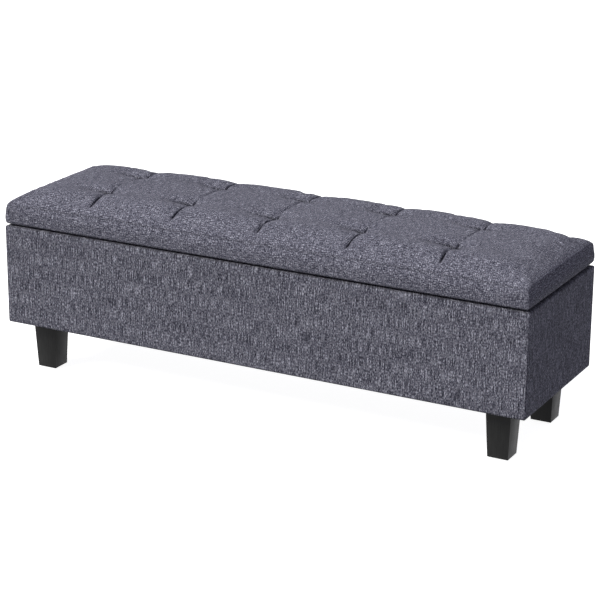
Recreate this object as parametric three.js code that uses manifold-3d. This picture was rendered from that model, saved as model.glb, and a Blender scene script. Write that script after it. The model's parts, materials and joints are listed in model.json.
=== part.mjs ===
// Upholstered storage bench: a wooden box on four tapered legs, covered in fabric,
// with a tufted, padded lid that swings up on two butt hinges and two folding stays.
// Millimetres. +X along the bench, -Y towards the front, +Z up.
// The origin is on the floor, under the middle of the bench.
import * as THREE from "three";
import { mergeVertices } from "three/addons/utils/BufferGeometryUtils.js";
import Module from "manifold-3d";

const wasm = await Module();
wasm.setup();

// ---- driving dimensions ----
const LENGTH = 1280;
const DEPTH = 370;
const LEG_HEIGHT = 114;
const BOX_HEIGHT = 232;
const LID_GAP = 4;
const LID_EDGE = 44; // height of the lid's sewn edge at its corners
const LID_CROWN = 36; // how far the pad's middle stands above that edge

const COVER = 6; // padded fabric on the outside of the box
const LAP = 2; // fabric folded over a panel's edges
const PANEL = 12;
const LINING = 1;
const BOTTOM = 9;
const CLEAT = 20;
const BLOCK = { x: 112, y: 93, z: 20 };
const FIT = 0.3; // gap between pieces that rest on each other

const LEG = { top: 57, foot: 47, inX: 73.8, inY: 64.8, glide: 3, glideR: 15 };
const BOLT = { r: 4, hole: 4.4, below: 44, above: 18 };

const BOARD = { margin: 10, thick: 12 };
const PAD_SKIN = 4;
const UNDER_LAP = 40; // fabric turned under the edge of the lid
const TUFTS = { columns: 5, pitch: LENGTH / 6, rowY: 73 };
const TWINE = { r: 1.5, hole: 3, anchorR: 8, anchor: 2, knotR: 2.5 };

const HINGE = { y: 182.5, r: 2.4, bore: 1.35, pin: 1.1, leaf: 1, width: 15, length: 66, x: 400 };
const STAY = { arm: 2, width: 16, stud: 3, hole: 3.3, head: 5.5, x: 621 };
const STAY_BODY = { y: -39.5, z: -90 }; // body pivot, from the lid's hinge line
const STAY_LID = { y: -150, z: -14 }; // lid pivot, from the lid's hinge line
const BUMPER = { r: 6, x: 600 };

// ---- heights and faces worked out from them ----
const BOX_TOP = LEG_HEIGHT + BOX_HEIGHT;
const LID_BOTTOM = BOX_TOP + LID_GAP;
const PANEL_BOTTOM = LEG_HEIGHT + LAP;
const PANEL_TOP = BOX_TOP - LAP;
const FLOOR_BOTTOM = PANEL_BOTTOM + CLEAT;
const FLOOR_TOP = FLOOR_BOTTOM + BOTTOM;
const OUT = { x: LENGTH / 2, y: DEPTH / 2 };
const WALL = { x: OUT.x - COVER, y: OUT.y - COVER };
const INNER = { x: WALL.x - PANEL, y: WALL.y - PANEL };
const BOARD_BOTTOM = LID_BOTTOM + LAP;
const BOARD_TOP = BOARD_BOTTOM + BOARD.thick;
const HINGE_LINE = { y: HINGE.y, z: (BOX_TOP + LID_BOTTOM) / 2 };

// ---- colours and finishes ----
const finish = (color, roughness, metalness = 0) =>
  new THREE.MeshStandardMaterial({ color, roughness, metalness });
const FABRIC = finish(0x5d5c69, 0.95);
const LINING_CLOTH = finish(0x17171a, 0.95);
const PLYWOOD = finish(0xb08d5f, 0.7);
const SOFTWOOD = finish(0xc8a877, 0.75);
const FOAM = finish(0xe6dfc8, 0.9);
const BLACK_LEG = finish(0x17171a, 0.45);
const STEEL = finish(0x9a9ca0, 0.35, 1);
const BLACK_PLASTIC = finish(0x1a1a1c, 0.6);
const TWINE_THREAD = finish(0x4c4b56, 0.9);
const RUBBER = finish(0x202022, 0.85);

// ---- shapes ----

// A box between two corners.
function block(low, high) {
  const size = high.map((v, i) => v - low[i]);
  const middle = high.map((v, i) => (v + low[i]) / 2);
  return new THREE.BoxGeometry(...size).translate(...middle);
}

// A round bar along Z, from z0 to z1.
function bar(radius, x, y, z0, z1, sides = 20) {
  const geometry = new THREE.CylinderGeometry(radius, radius, z1 - z0, sides);
  return geometry.rotateX(Math.PI / 2).translate(x, y, (z0 + z1) / 2);
}

// A round bar along X, from x0 to x1.
function crossBar(radius, x0, x1, y, z, sides = 20) {
  const geometry = new THREE.CylinderGeometry(radius, radius, x1 - x0, sides);
  return geometry.rotateZ(Math.PI / 2).translate((x0 + x1) / 2, y, z);
}

// A side outline, drawn in Y and Z, carried along X from x0 to x1.
function alongX(shape, x0, x1) {
  const geometry = new THREE.ExtrudeGeometry(shape, {
    depth: x1 - x0,
    bevelEnabled: false,
    curveSegments: 5,
  });
  const axes = new THREE.Matrix4().makeBasis(
    new THREE.Vector3(0, 1, 0),
    new THREE.Vector3(0, 0, 1),
    new THREE.Vector3(1, 0, 0),
  );
  return geometry.applyMatrix4(axes).translate(x0, 0, 0);
}

function toSolid(geometry) {
  const bare = geometry.clone();
  bare.deleteAttribute("normal");
  bare.deleteAttribute("uv");
  const merged = mergeVertices(bare, 1e-4);
  return new wasm.Manifold(
    new wasm.Mesh({
      numProp: 3,
      vertProperties: new Float32Array(merged.attributes.position.array),
      triVerts: new Uint32Array(merged.index.array),
    }),
  );
}

function fromSolid(solid) {
  const mesh = solid.getMesh();
  const geometry = new THREE.BufferGeometry();
  geometry.setAttribute("position", new THREE.BufferAttribute(mesh.vertProperties, 3));
  geometry.setIndex(new THREE.BufferAttribute(mesh.triVerts, 1));
  return geometry;
}

function join(...geometries) {
  return fromSolid(geometries.map(toSolid).reduce((sum, next) => sum.add(next)));
}

function cut(geometry, ...tools) {
  return fromSolid(tools.map(toSolid).reduce((rest, tool) => rest.subtract(tool), toSolid(geometry)));
}

function piece(name, geometry, material) {
  const mesh = new THREE.Mesh(geometry, material);
  mesh.name = name;
  return mesh;
}

const SIDES = [
  ["left", -1],
  ["right", 1],
];
const ENDS = [
  ["front", -1],
  ["back", 1],
];

// ---- the box ----

function boxPanels() {
  const z0 = PANEL_BOTTOM;
  const z1 = PANEL_TOP;
  const floor = block([-INNER.x, -INNER.y, FLOOR_BOTTOM], [INNER.x, INNER.y, FLOOR_TOP]);
  const long = (near, far) => block([-WALL.x, near, z0], [WALL.x, far, z1]);
  const short = (near, far) => block([near, -INNER.y, z0], [far, INNER.y, z1]);
  return [
    piece("front_panel", long(-WALL.y, -INNER.y), PLYWOOD),
    piece("back_panel", long(INNER.y, WALL.y), PLYWOOD),
    piece("left_end_panel", short(-WALL.x, -INNER.x), PLYWOOD),
    piece("right_end_panel", short(INNER.x, WALL.x), PLYWOOD),
    piece("bottom_panel", floor, PLYWOOD),
  ];
}

// Battens that the bottom panel rests on, between the leg blocks.
function cleats() {
  const half = INNER.x - BLOCK.x;
  return ENDS.map(([end, side]) => {
    const near = side > 0 ? INNER.y - CLEAT : -INNER.y;
    const low = [-half, near, PANEL_BOTTOM];
    return piece(end + "_cleat", block(low, [half, near + CLEAT, FLOOR_BOTTOM]), SOFTWOOD);
  });
}

// The padded cover of one box wall, as seen from its end: the outer sheet with a soft
// top and bottom edge, and the laps folded over the panel's top and under its bottom.
function coverOutline() {
  const top = 6.5;
  const foot = 5.5;
  const inner = COVER + PANEL;
  const outline = new THREE.Shape();
  outline.moveTo(inner, LEG_HEIGHT);
  outline.lineTo(inner, PANEL_BOTTOM - FIT);
  outline.lineTo(COVER - FIT, PANEL_BOTTOM - FIT);
  outline.lineTo(COVER - FIT, PANEL_TOP + FIT);
  outline.lineTo(inner, PANEL_TOP + FIT);
  outline.lineTo(inner, BOX_TOP);
  outline.lineTo(top, BOX_TOP);
  outline.absarc(top, BOX_TOP - top, top, Math.PI / 2, Math.PI, false);
  outline.absarc(foot, LEG_HEIGHT + foot, foot, Math.PI, 1.5 * Math.PI, false);
  outline.closePath();
  return outline;
}

// One wall's cover, its ends cut to 45 degrees so that four of them meet at the corners.
function mitredCover(halfLength, halfDepth, turns) {
  const strip = alongX(coverOutline(), -halfLength, halfLength).translate(0, -halfDepth, 0);
  const reach = COVER + PANEL + 1;
  const tools = [-1, 1].map((side) => {
    const wedge = new THREE.Shape();
    wedge.moveTo(side * (halfLength - FIT), -halfDepth);
    wedge.lineTo(side * (halfLength - FIT - reach), -halfDepth + reach);
    wedge.lineTo(side * (halfLength + reach), -halfDepth + reach);
    wedge.lineTo(side * (halfLength + reach), -halfDepth);
    wedge.closePath();
    const options = { depth: BOX_HEIGHT + 20, bevelEnabled: false };
    return new THREE.ExtrudeGeometry(wedge, options).translate(0, 0, LEG_HEIGHT - 10);
  });
  return cut(strip, ...tools).rotateZ((turns * Math.PI) / 2);
}

function covers() {
  return [
    piece("front_cover", mitredCover(OUT.x, OUT.y, 0), FABRIC),
    piece("right_end_cover", mitredCover(OUT.y, OUT.x, 1), FABRIC),
    piece("back_cover", mitredCover(OUT.x, OUT.y, 2), FABRIC),
    piece("left_end_cover", mitredCover(OUT.y, OUT.x, 3), FABRIC),
  ];
}

// The cloth bag glued inside the box, open at the top.
function storageLining() {
  const outer = block([-INNER.x, -INNER.y, FLOOR_TOP], [INNER.x, INNER.y, PANEL_TOP - LAP]);
  const room = { x: INNER.x - LINING, y: INNER.y - LINING };
  const hollow = block([-room.x, -room.y, FLOOR_TOP + LINING], [room.x, room.y, BOX_TOP]);
  return piece("storage_lining", cut(outer, hollow), LINING_CLOTH);
}

const LEG_PLACES = ENDS.flatMap(([end, sideY]) =>
  SIDES.map(([hand, sideX]) => ({
    place: end + "_" + hand,
    x: sideX * (OUT.x - LEG.inX),
    y: sideY * (OUT.y - LEG.inY),
    sideX,
    sideY,
  })),
);

// Thin cloth stapled under the box, with a hole for each leg's bolt.
function dustCover() {
  const sheet = block([-INNER.x, -INNER.y, PANEL_BOTTOM - LINING], [INNER.x, INNER.y, PANEL_BOTTOM]);
  const holes = LEG_PLACES.map(({ x, y }) => bar(BOLT.hole + 1, x, y, LEG_HEIGHT - 5, LEG_HEIGHT + 5));
  return piece("dust_cover", cut(sheet, ...holes), LINING_CLOTH);
}

// ---- the legs ----

// A square leg that tapers on all four sides, bored from above for its bolt.
function leg({ place, x, y }) {
  const z0 = LEG.glide;
  const z1 = PANEL_BOTTOM - LINING - FIT;
  const taper = new THREE.CylinderGeometry(LEG.top / Math.SQRT2, LEG.foot / Math.SQRT2, z1 - z0, 4);
  taper.rotateY(Math.PI / 4).rotateX(Math.PI / 2).translate(x, y, (z0 + z1) / 2);
  const bore = bar(BOLT.hole, x, y, PANEL_BOTTOM - BOLT.below - 1, z1 + 1);
  return piece("leg_" + place, cut(taper, bore), BLACK_LEG);
}

function legBlock({ place, x, y, sideX, sideY }) {
  const corner = [sideX * INNER.x, sideY * INNER.y];
  const inside = [corner[0] - sideX * BLOCK.x, corner[1] - sideY * BLOCK.y];
  const low = [Math.min(corner[0], inside[0]), Math.min(corner[1], inside[1]), PANEL_BOTTOM];
  const high = [Math.max(corner[0], inside[0]), Math.max(corner[1], inside[1]), FLOOR_BOTTOM];
  const hole = bar(BOLT.hole, x, y, PANEL_BOTTOM - 1, FLOOR_BOTTOM + 1);
  return piece("leg_block_" + place, cut(block(low, high), hole), SOFTWOOD);
}

// A hanger bolt with pointed ends, half in the leg and half in the block.
function legBolt({ place, x, y }) {
  const z0 = PANEL_BOTTOM - BOLT.below;
  const z1 = PANEL_BOTTOM + BOLT.above;
  const point = 2;
  const profile = [
    new THREE.Vector2(0, z0),
    new THREE.Vector2(BOLT.r - point, z0),
    new THREE.Vector2(BOLT.r, z0 + point),
    new THREE.Vector2(BOLT.r, z1 - point),
    new THREE.Vector2(BOLT.r - point, z1),
    new THREE.Vector2(0, z1),
  ];
  const geometry = new THREE.LatheGeometry(profile, 20).rotateX(Math.PI / 2);
  return piece("leg_bolt_" + place, geometry.translate(x, y, 0), STEEL);
}

function legGlide({ place, x, y }) {
  return piece("leg_glide_" + place, bar(LEG.glideR, x, y, 0, LEG.glide, 28), BLACK_PLASTIC);
}

// ---- the lid ----

// Share of the full crown at a distance from an edge: none at it, all of it past the run.
function rise(distance, run) {
  const t = Math.min(1, Math.max(0, distance / run));
  return Math.sin((t * Math.PI) / 2) ** 0.9;
}

// The pad's outline across the bench at one place along it, going round from the
// front lower edge. crown is how much of the crown it has there; inset moves it inwards.
function padOutline(crown, inset, bottom) {
  const half = OUT.y - inset;
  const top = LID_BOTTOM + LID_EDGE - inset;
  const foot = 9 - inset;
  const shoulder = 12;
  const points = [];
  const steps = 3;
  for (let i = 0; i <= steps; i++) {
    const a = (i / steps) * (Math.PI / 2);
    points.push([-half + foot - foot * Math.sin(a), bottom + foot - foot * Math.cos(a)]);
  }
  for (let i = 0; i <= steps; i++) {
    const a = (i / steps) * (Math.PI / 2);
    points.push([-half + shoulder * (1 - Math.cos(a)), top - shoulder * (1 - Math.sin(a))]);
  }
  const columns = 6;
  for (let i = 1; i <= columns; i++) {
    const y = -half + shoulder + ((half - shoulder) * i) / columns;
    points.push([y, top + crown * LID_CROWN * rise(y + half - shoulder, 110)]);
  }
  const back = points.slice(0, -1).map(([y, z]) => [-y, z]);
  return points.concat(back.reverse());
}

// A closed body through outlines with the same number of points, each at its own x.
function loft(stations) {
  const count = stations[0].outline.length;
  const positions = stations.flatMap(({ x, outline }) => outline.flatMap(([y, z]) => [x, y, z]));
  const faces = [];
  for (let s = 0; s + 1 < stations.length; s++) {
    for (let i = 0; i < count; i++) {
      const j = (i + 1) % count;
      const a = s * count + i;
      const b = s * count + j;
      faces.push(a, b + count, b, a, a + count, b + count);
    }
  }
  const last = (stations.length - 1) * count;
  const flat = stations[0].outline.map(([y, z]) => new THREE.Vector2(y, z));
  for (const [a, b, c] of THREE.ShapeUtils.triangulateShape(flat, [])) {
    faces.push(a, c, b, last + a, last + b, last + c);
  }
  const geometry = new THREE.BufferGeometry();
  geometry.setAttribute("position", new THREE.Float32BufferAttribute(positions, 3));
  geometry.setIndex(faces);
  return geometry;
}

// The domed pad, or the same shape smaller by inset, standing on the height given.
function pad(inset, bottom) {
  const half = OUT.x - inset;
  const distances = [0, 20, 45, 80, 120, 200];
  const left = distances.map((d) => ({ x: -half + d, crown: rise(d, 120) }));
  const right = left.map(({ x, crown }) => ({ x: -x, crown })).reverse();
  return loft(
    [...left, ...right].map(({ x, crown }) => ({ x, outline: padOutline(crown, inset, bottom) })),
  );
}

const TUFT_PLACES = ENDS.flatMap(([row, side]) =>
  Array.from({ length: TUFTS.columns }, (_, i) => ({
    name: row + "_" + (i + 1),
    x: (i - (TUFTS.columns - 1) / 2) * TUFTS.pitch,
    y: side * TUFTS.rowY,
  })),
);

// The fabric and batting over the pad, turned in under the lid's edge.
function lidCover() {
  const hollow = pad(PAD_SKIN, BOARD_BOTTOM);
  const mouth = block(
    [-OUT.x + UNDER_LAP, -OUT.y + UNDER_LAP, LID_BOTTOM - 1],
    [OUT.x - UNDER_LAP, OUT.y - UNDER_LAP, BOARD_BOTTOM + 1],
  );
  return piece("lid_cover", cut(pad(0, LID_BOTTOM), hollow, mouth), FABRIC);
}

function lidFoam() {
  const inset = PAD_SKIN + FIT;
  const below = block([-OUT.x, -OUT.y, LID_BOTTOM - 1], [OUT.x, OUT.y, BOARD_TOP + FIT]);
  const holes = TUFT_PLACES.map(({ x, y }) => bar(TWINE.hole + 2, x, y, LID_BOTTOM, LID_BOTTOM + 90, 12));
  return piece("lid_foam", cut(pad(inset, BOARD_BOTTOM), below, ...holes), FOAM);
}

function lidBoard() {
  const half = { x: OUT.x - BOARD.margin, y: OUT.y - BOARD.margin };
  const board = block([-half.x, -half.y, BOARD_BOTTOM], [half.x, half.y, BOARD_TOP]);
  const holes = TUFT_PLACES.flatMap(({ x, y }) => [
    bar(TWINE.hole, x, y, BOARD_BOTTOM - 1, BOARD_TOP + 1, 16),
    bar(TWINE.anchorR + 1, x, y, BOARD_BOTTOM - 1, BOARD_BOTTOM + TWINE.anchor + 1, 20),
  ]);
  return piece("lid_board", cut(board, ...holes), PLYWOOD);
}

// Cloth over the board's underside, inside the turned-under edge of the cover.
function lidLining() {
  const half = { x: OUT.x - UNDER_LAP - FIT, y: OUT.y - UNDER_LAP - FIT };
  const z1 = BOARD_BOTTOM - FIT;
  return piece("lid_lining", block([-half.x, -half.y, z1 - LINING], [half.x, half.y, z1]), LINING_CLOTH);
}

// One tuft's twine, from the knot under the fabric to the disc that anchors it in the board.
function tuftTwine({ name, x, y }) {
  const anchor = BOARD_BOTTOM + 0.5;
  const knot = LID_BOTTOM + LID_EDGE + 8;
  const profile = [
    new THREE.Vector2(0, anchor),
    new THREE.Vector2(TWINE.anchorR, anchor),
    new THREE.Vector2(TWINE.anchorR, anchor + TWINE.anchor),
    new THREE.Vector2(TWINE.r, anchor + TWINE.anchor),
    new THREE.Vector2(TWINE.r, knot),
    new THREE.Vector2(TWINE.knotR, knot + 1.5),
    new THREE.Vector2(TWINE.r, knot + 3),
    new THREE.Vector2(0, knot + 3.5),
  ];
  const geometry = new THREE.LatheGeometry(profile, 12).rotateX(Math.PI / 2);
  return piece("tuft_twine_" + name, geometry.translate(x, y, 0), TWINE_THREAD);
}

// ---- the butt hinges ----

// One leaf with its knuckles: a plate against a flat face, with three screw holes,
// and a tube round the hinge line over each of the given stretches.
function hingeLeaf(x, plateBottom, knuckles) {
  const { y, z } = HINGE_LINE;
  const near = y - HINGE.width;
  const x0 = x - HINGE.length / 2;
  const plateTop = plateBottom + HINGE.leaf;
  const plate = block([x0, near, plateBottom], [x0 + HINGE.length, y - HINGE.r - 0.5, plateTop]);
  const holes = [-1, 0, 1].map((i) =>
    bar(1.8, x + i * (HINGE.length / 2 - 9), near + 5.5, plateBottom - 1, plateBottom + 2, 12),
  );
  const tubes = knuckles.flatMap(([a, b]) => [
    crossBar(HINGE.r, x0 + a, x0 + b, y, z),
    block([x0 + a, near + 4, plateBottom], [x0 + b, y, plateTop]),
  ]);
  const solid = join(plate, ...tubes);
  return cut(solid, ...holes, crossBar(HINGE.bore, x0 - 1, x0 + HINGE.length + 1, y, z));
}

function hinge(hand, side) {
  const x = side * HINGE.x;
  const third = HINGE.length / 3;
  const gap = FIT;
  const outer = [
    [0, third - gap],
    [2 * third + gap, HINGE.length],
  ];
  const middle = [[third + gap, 2 * third - gap]];
  const { y, z } = HINGE_LINE;
  const pin = crossBar(HINGE.pin, x - HINGE.length / 2, x + HINGE.length / 2, y, z, 16);
  return {
    body: [
      piece("hinge_body_leaf_" + hand, hingeLeaf(x, BOX_TOP, outer), STEEL),
      piece("hinge_pin_" + hand, pin, STEEL),
    ],
    lid: [piece("hinge_lid_leaf_" + hand, hingeLeaf(x, LID_BOTTOM - HINGE.leaf, middle), STEEL)],
  };
}

// ---- the folding stays ----

// A flat arm with round ends and a hole at each pivot that another piece's stud fills.
function armShape(from, to, holes) {
  const r = STAY.width / 2;
  const angle = Math.atan2(to.z - from.z, to.y - from.y);
  const shape = new THREE.Shape();
  shape.absarc(to.y, to.z, r, angle - Math.PI / 2, angle + Math.PI / 2, false);
  shape.absarc(from.y, from.z, r, angle + Math.PI / 2, angle + 1.5 * Math.PI, false);
  shape.closePath();
  for (const { y, z } of holes) {
    const hole = new THREE.Path();
    hole.absarc(y, z, STAY.hole, 0, 2 * Math.PI, true);
    shape.holes.push(hole);
  }
  return shape;
}

// A riveted stud along X: a shank and, at its far end, a wider head.
function stud(x0, x1, at) {
  const step = Math.sign(x1 - x0);
  const shank = crossBar(STAY.stud, Math.min(x0, x1), Math.max(x0, x1), at.y, at.z);
  const headEnd = x1 + step * 1.2;
  const head = crossBar(STAY.head, Math.min(x1, headEnd), Math.max(x1, headEnd), at.y, at.z);
  return [shank, head];
}

// The arms and the hinge line make a parallelogram, so the lower arm turns with the lid
// and the upper arm keeps its slope. Everything is drawn for the right end, then mirrored.
function stay(hand, side) {
  const body = { y: HINGE_LINE.y + STAY_BODY.y, z: HINGE_LINE.z + STAY_BODY.z };
  const lid = { y: HINGE_LINE.y + STAY_LID.y, z: HINGE_LINE.z + STAY_LID.z };
  const knee = { y: body.y + STAY_LID.y, z: body.z + STAY_LID.z };
  const wall = STAY.x - FIT;
  const lower = wall - 6;
  const upper = lower - STAY.arm - 1;
  const web = upper - STAY.arm - 3;

  const plate = block([wall - 2, body.y - 14, body.z - 22], [wall, body.y + 14, body.z + 22]);
  const screwHoles = [-15, 15].map((dz) => crossBar(2.2, wall - 3, wall + 1, body.y, body.z + dz, 12));
  const bracket = cut(join(plate, ...stud(wall - 1, lower - STAY.arm - 0.5, body)), ...screwHoles);

  const lowerArm = join(
    alongX(armShape(body, knee, [body]), lower - STAY.arm, lower),
    ...stud(lower - 1, upper - STAY.arm - 0.5, knee),
  );
  const upperArm = alongX(armShape(knee, lid, [knee, lid]), upper - STAY.arm, upper);

  const flangeTop = LID_BOTTOM - FIT;
  const flange = block([web - STAY.arm, lid.y - 22, flangeTop - 1.7], [web + 12, lid.y + 22, flangeTop]);
  const flangeHoles = [-14, 14].map((dy) => {
    return bar(2.2, web + 6, lid.y + dy, LID_BOTTOM - 3, LID_BOTTOM + 1, 12);
  });
  const hanger = block([web - STAY.arm, lid.y - 10, lid.z - 7], [web, lid.y + 10, LID_BOTTOM - 1]);
  const lidBracket = cut(join(flange, hanger, ...stud(web - 1, upper + 0.5, lid)), ...flangeHoles);

  const place = (name, geometry) => {
    const mesh = piece("stay_" + name + "_" + hand, geometry, STEEL);
    mesh.scale.x = side;
    return mesh;
  };
  return {
    body: [place("body_bracket", bracket)],
    arms: [place("lower_arm", lowerArm), place("upper_arm", upperArm)],
    lid: [place("lid_bracket", lidBracket)],
  };
}

// Soft buffers on the front rim, which the closed lid rests on.
function bumper(hand, side) {
  const y = -OUT.y + COVER + PANEL / 2;
  const geometry = bar(BUMPER.r, side * BUMPER.x, y, BOX_TOP, LID_BOTTOM - FIT, 20);
  return piece("bumper_" + hand, geometry, RUBBER);
}

// ---- the assembly ----
const hinges = SIDES.map(([hand, side]) => hinge(hand, side));
const stays = SIDES.map(([hand, side]) => stay(hand, side));

const box = new THREE.Group();
box.add(...boxPanels(), ...cleats(), ...covers(), storageLining(), dustCover());
box.add(...LEG_PLACES.flatMap((place) => [leg(place), legBlock(place), legBolt(place), legGlide(place)]));
box.add(...hinges.flatMap((h) => h.body), ...stays.flatMap((s) => s.body));
box.add(...SIDES.map(([hand, side]) => bumper(hand, side)));

const lid = new THREE.Group();
lid.add(lidCover(), lidFoam(), lidBoard(), lidLining(), ...TUFT_PLACES.map(tuftTwine));
lid.add(...hinges.flatMap((h) => h.lid), ...stays.flatMap((s) => s.lid));

const bench = new THREE.Group();
bench.add(box, lid, ...stays.flatMap((s) => s.arms));

export default bench;
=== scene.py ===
# %% [markdown]
# # A tufted storage bench
# This notebook dresses a finished bench model. The solid model already knows the size of
# every panel, leg and hinge, so it is loaded as a fixed frame, and each visible piece is
# placed by measuring that frame. Nothing is fitted by eye.

# %% Load the frame
import json
import math

import bmesh
import bpy
import numpy as np
from mathutils import Matrix, Vector, noise

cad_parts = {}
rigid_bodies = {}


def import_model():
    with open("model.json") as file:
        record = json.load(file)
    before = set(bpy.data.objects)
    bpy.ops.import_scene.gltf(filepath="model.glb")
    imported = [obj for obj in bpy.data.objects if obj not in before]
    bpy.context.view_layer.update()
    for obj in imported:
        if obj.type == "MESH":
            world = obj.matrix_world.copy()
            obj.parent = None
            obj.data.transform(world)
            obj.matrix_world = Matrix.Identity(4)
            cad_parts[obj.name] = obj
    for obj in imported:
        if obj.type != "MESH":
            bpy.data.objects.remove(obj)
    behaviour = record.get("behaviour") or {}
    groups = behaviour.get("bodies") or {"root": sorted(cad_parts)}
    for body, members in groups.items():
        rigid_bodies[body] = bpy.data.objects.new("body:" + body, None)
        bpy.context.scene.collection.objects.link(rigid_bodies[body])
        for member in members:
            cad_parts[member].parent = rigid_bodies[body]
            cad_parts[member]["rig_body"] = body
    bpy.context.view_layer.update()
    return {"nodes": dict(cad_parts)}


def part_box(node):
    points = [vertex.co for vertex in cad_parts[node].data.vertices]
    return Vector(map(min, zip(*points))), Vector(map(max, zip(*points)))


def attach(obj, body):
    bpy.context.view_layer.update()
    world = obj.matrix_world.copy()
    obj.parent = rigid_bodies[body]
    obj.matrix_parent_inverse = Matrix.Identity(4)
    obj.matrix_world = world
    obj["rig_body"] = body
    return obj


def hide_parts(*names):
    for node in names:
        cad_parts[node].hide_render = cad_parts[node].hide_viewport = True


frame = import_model()
NODES = frame["nodes"]
MM = 0.001

# %% [markdown]
# The upholstery hides most of the solid model. These few heights and half widths, read
# from the solids they belong to, place all of it: the box, the lid, its edge, the tufts.

# %% Measure the frame
cover_low, cover_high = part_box("front_cover")
lid_low, lid_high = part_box("lid_cover")
HALF_X, HALF_Y = lid_high.x, lid_high.y
BOX_BOTTOM, BOX_TOP = cover_low.z, cover_high.z
LID_BOTTOM, LID_TOP = lid_low.z, lid_high.z
LAP_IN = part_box("front_panel")[1].y + HALF_Y  # how far in the box's covers are folded
TUFTS = sorted(
    ((low + high) / 2 for low, high in (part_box(n) for n in NODES if n.startswith("tuft_twine"))),
    key=lambda p: (round(p.y, 3), p.x),
)
COLUMNS = sorted({round(p.x, 4) for p in TUFTS})
ROWS = sorted({round(p.y, 4) for p in TUFTS})
print(f"half size {HALF_X:.3f} x {HALF_Y:.3f}, box {BOX_BOTTOM:.3f} to {BOX_TOP:.3f}")
print(f"lid {LID_BOTTOM:.3f} to {LID_TOP:.3f}, tuft columns {COLUMNS}, rows {ROWS}")

# %% [markdown]
# The camera comes first, because every later choice is judged through it. It looks down a
# little on the front and the right end with a long lens, as furniture is usually shown.

# %% Camera
VIEW = {"azimuth": 28.03, "elevation": 18.42, "roll": 0.37, "distance": 4.621, "lens": 123.5}
AIM_RIGHT, AIM_UP = 0.0195, 0.0977


def place_camera():
    az, el, roll = (math.radians(VIEW[k]) for k in ("azimuth", "elevation", "roll"))
    back = Vector((math.sin(az) * math.cos(el), -math.cos(az) * math.cos(el), math.sin(el)))
    right = Vector((math.cos(az), math.sin(az), 0))
    up = back.cross(right)
    eye = back * VIEW["distance"] + right * AIM_RIGHT + up * AIM_UP + Vector((0, 0, BOX_BOTTOM))
    tilted = right * math.cos(roll) + up * math.sin(roll)
    camera = bpy.data.objects.new("camera", bpy.data.cameras.new("camera"))
    turned = Matrix((tilted, back.cross(tilted), back)).transposed()
    camera.matrix_world = Matrix.Translation(eye) @ turned.to_4x4()
    camera.data.lens = VIEW["lens"]
    camera.data.clip_end = 100
    bpy.context.scene.collection.objects.link(camera)
    bpy.context.scene.camera = camera
    return camera


print("camera at", [round(v, 3) for v in place_camera().location])

# %% [markdown]
# Shader maths reads best as maths. `Value` wraps one output socket, so that `a * 2 + b`
# adds the Math nodes by itself, and `Finish` holds one material and adds any other node.


# %% Shader expressions
class Value:
    """One output socket that can be used in an expression."""

    def __init__(self, finish, socket):
        self.finish, self.socket = finish, socket

    def _math(self, operation, a, b=0.0):
        return self.finish.node("ShaderNodeMath", {"operation": operation}, {0: a, 1: b})

    def __add__(self, other):
        return self._math("ADD", self, other)

    def __sub__(self, other):
        return self._math("SUBTRACT", self, other)

    def __rsub__(self, other):
        return self._math("SUBTRACT", other, self)

    def __mul__(self, other):
        return self._math("MULTIPLY", self, other)

    __radd__, __rmul__ = __add__, __mul__

    def sine(self):
        return self._math("SINE", self)

    def size(self):
        return self._math("ABSOLUTE", self)

    def spread(self, low, high, to_low=0.0, to_high=1.0):
        """Stretches low..high to to_low..to_high and clamps what lies outside."""
        sockets = {"Value": self, 1: low, 2: high, 3: to_low, 4: to_high}
        return self.finish.node("ShaderNodeMapRange", {"clamp": True}, sockets)


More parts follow.
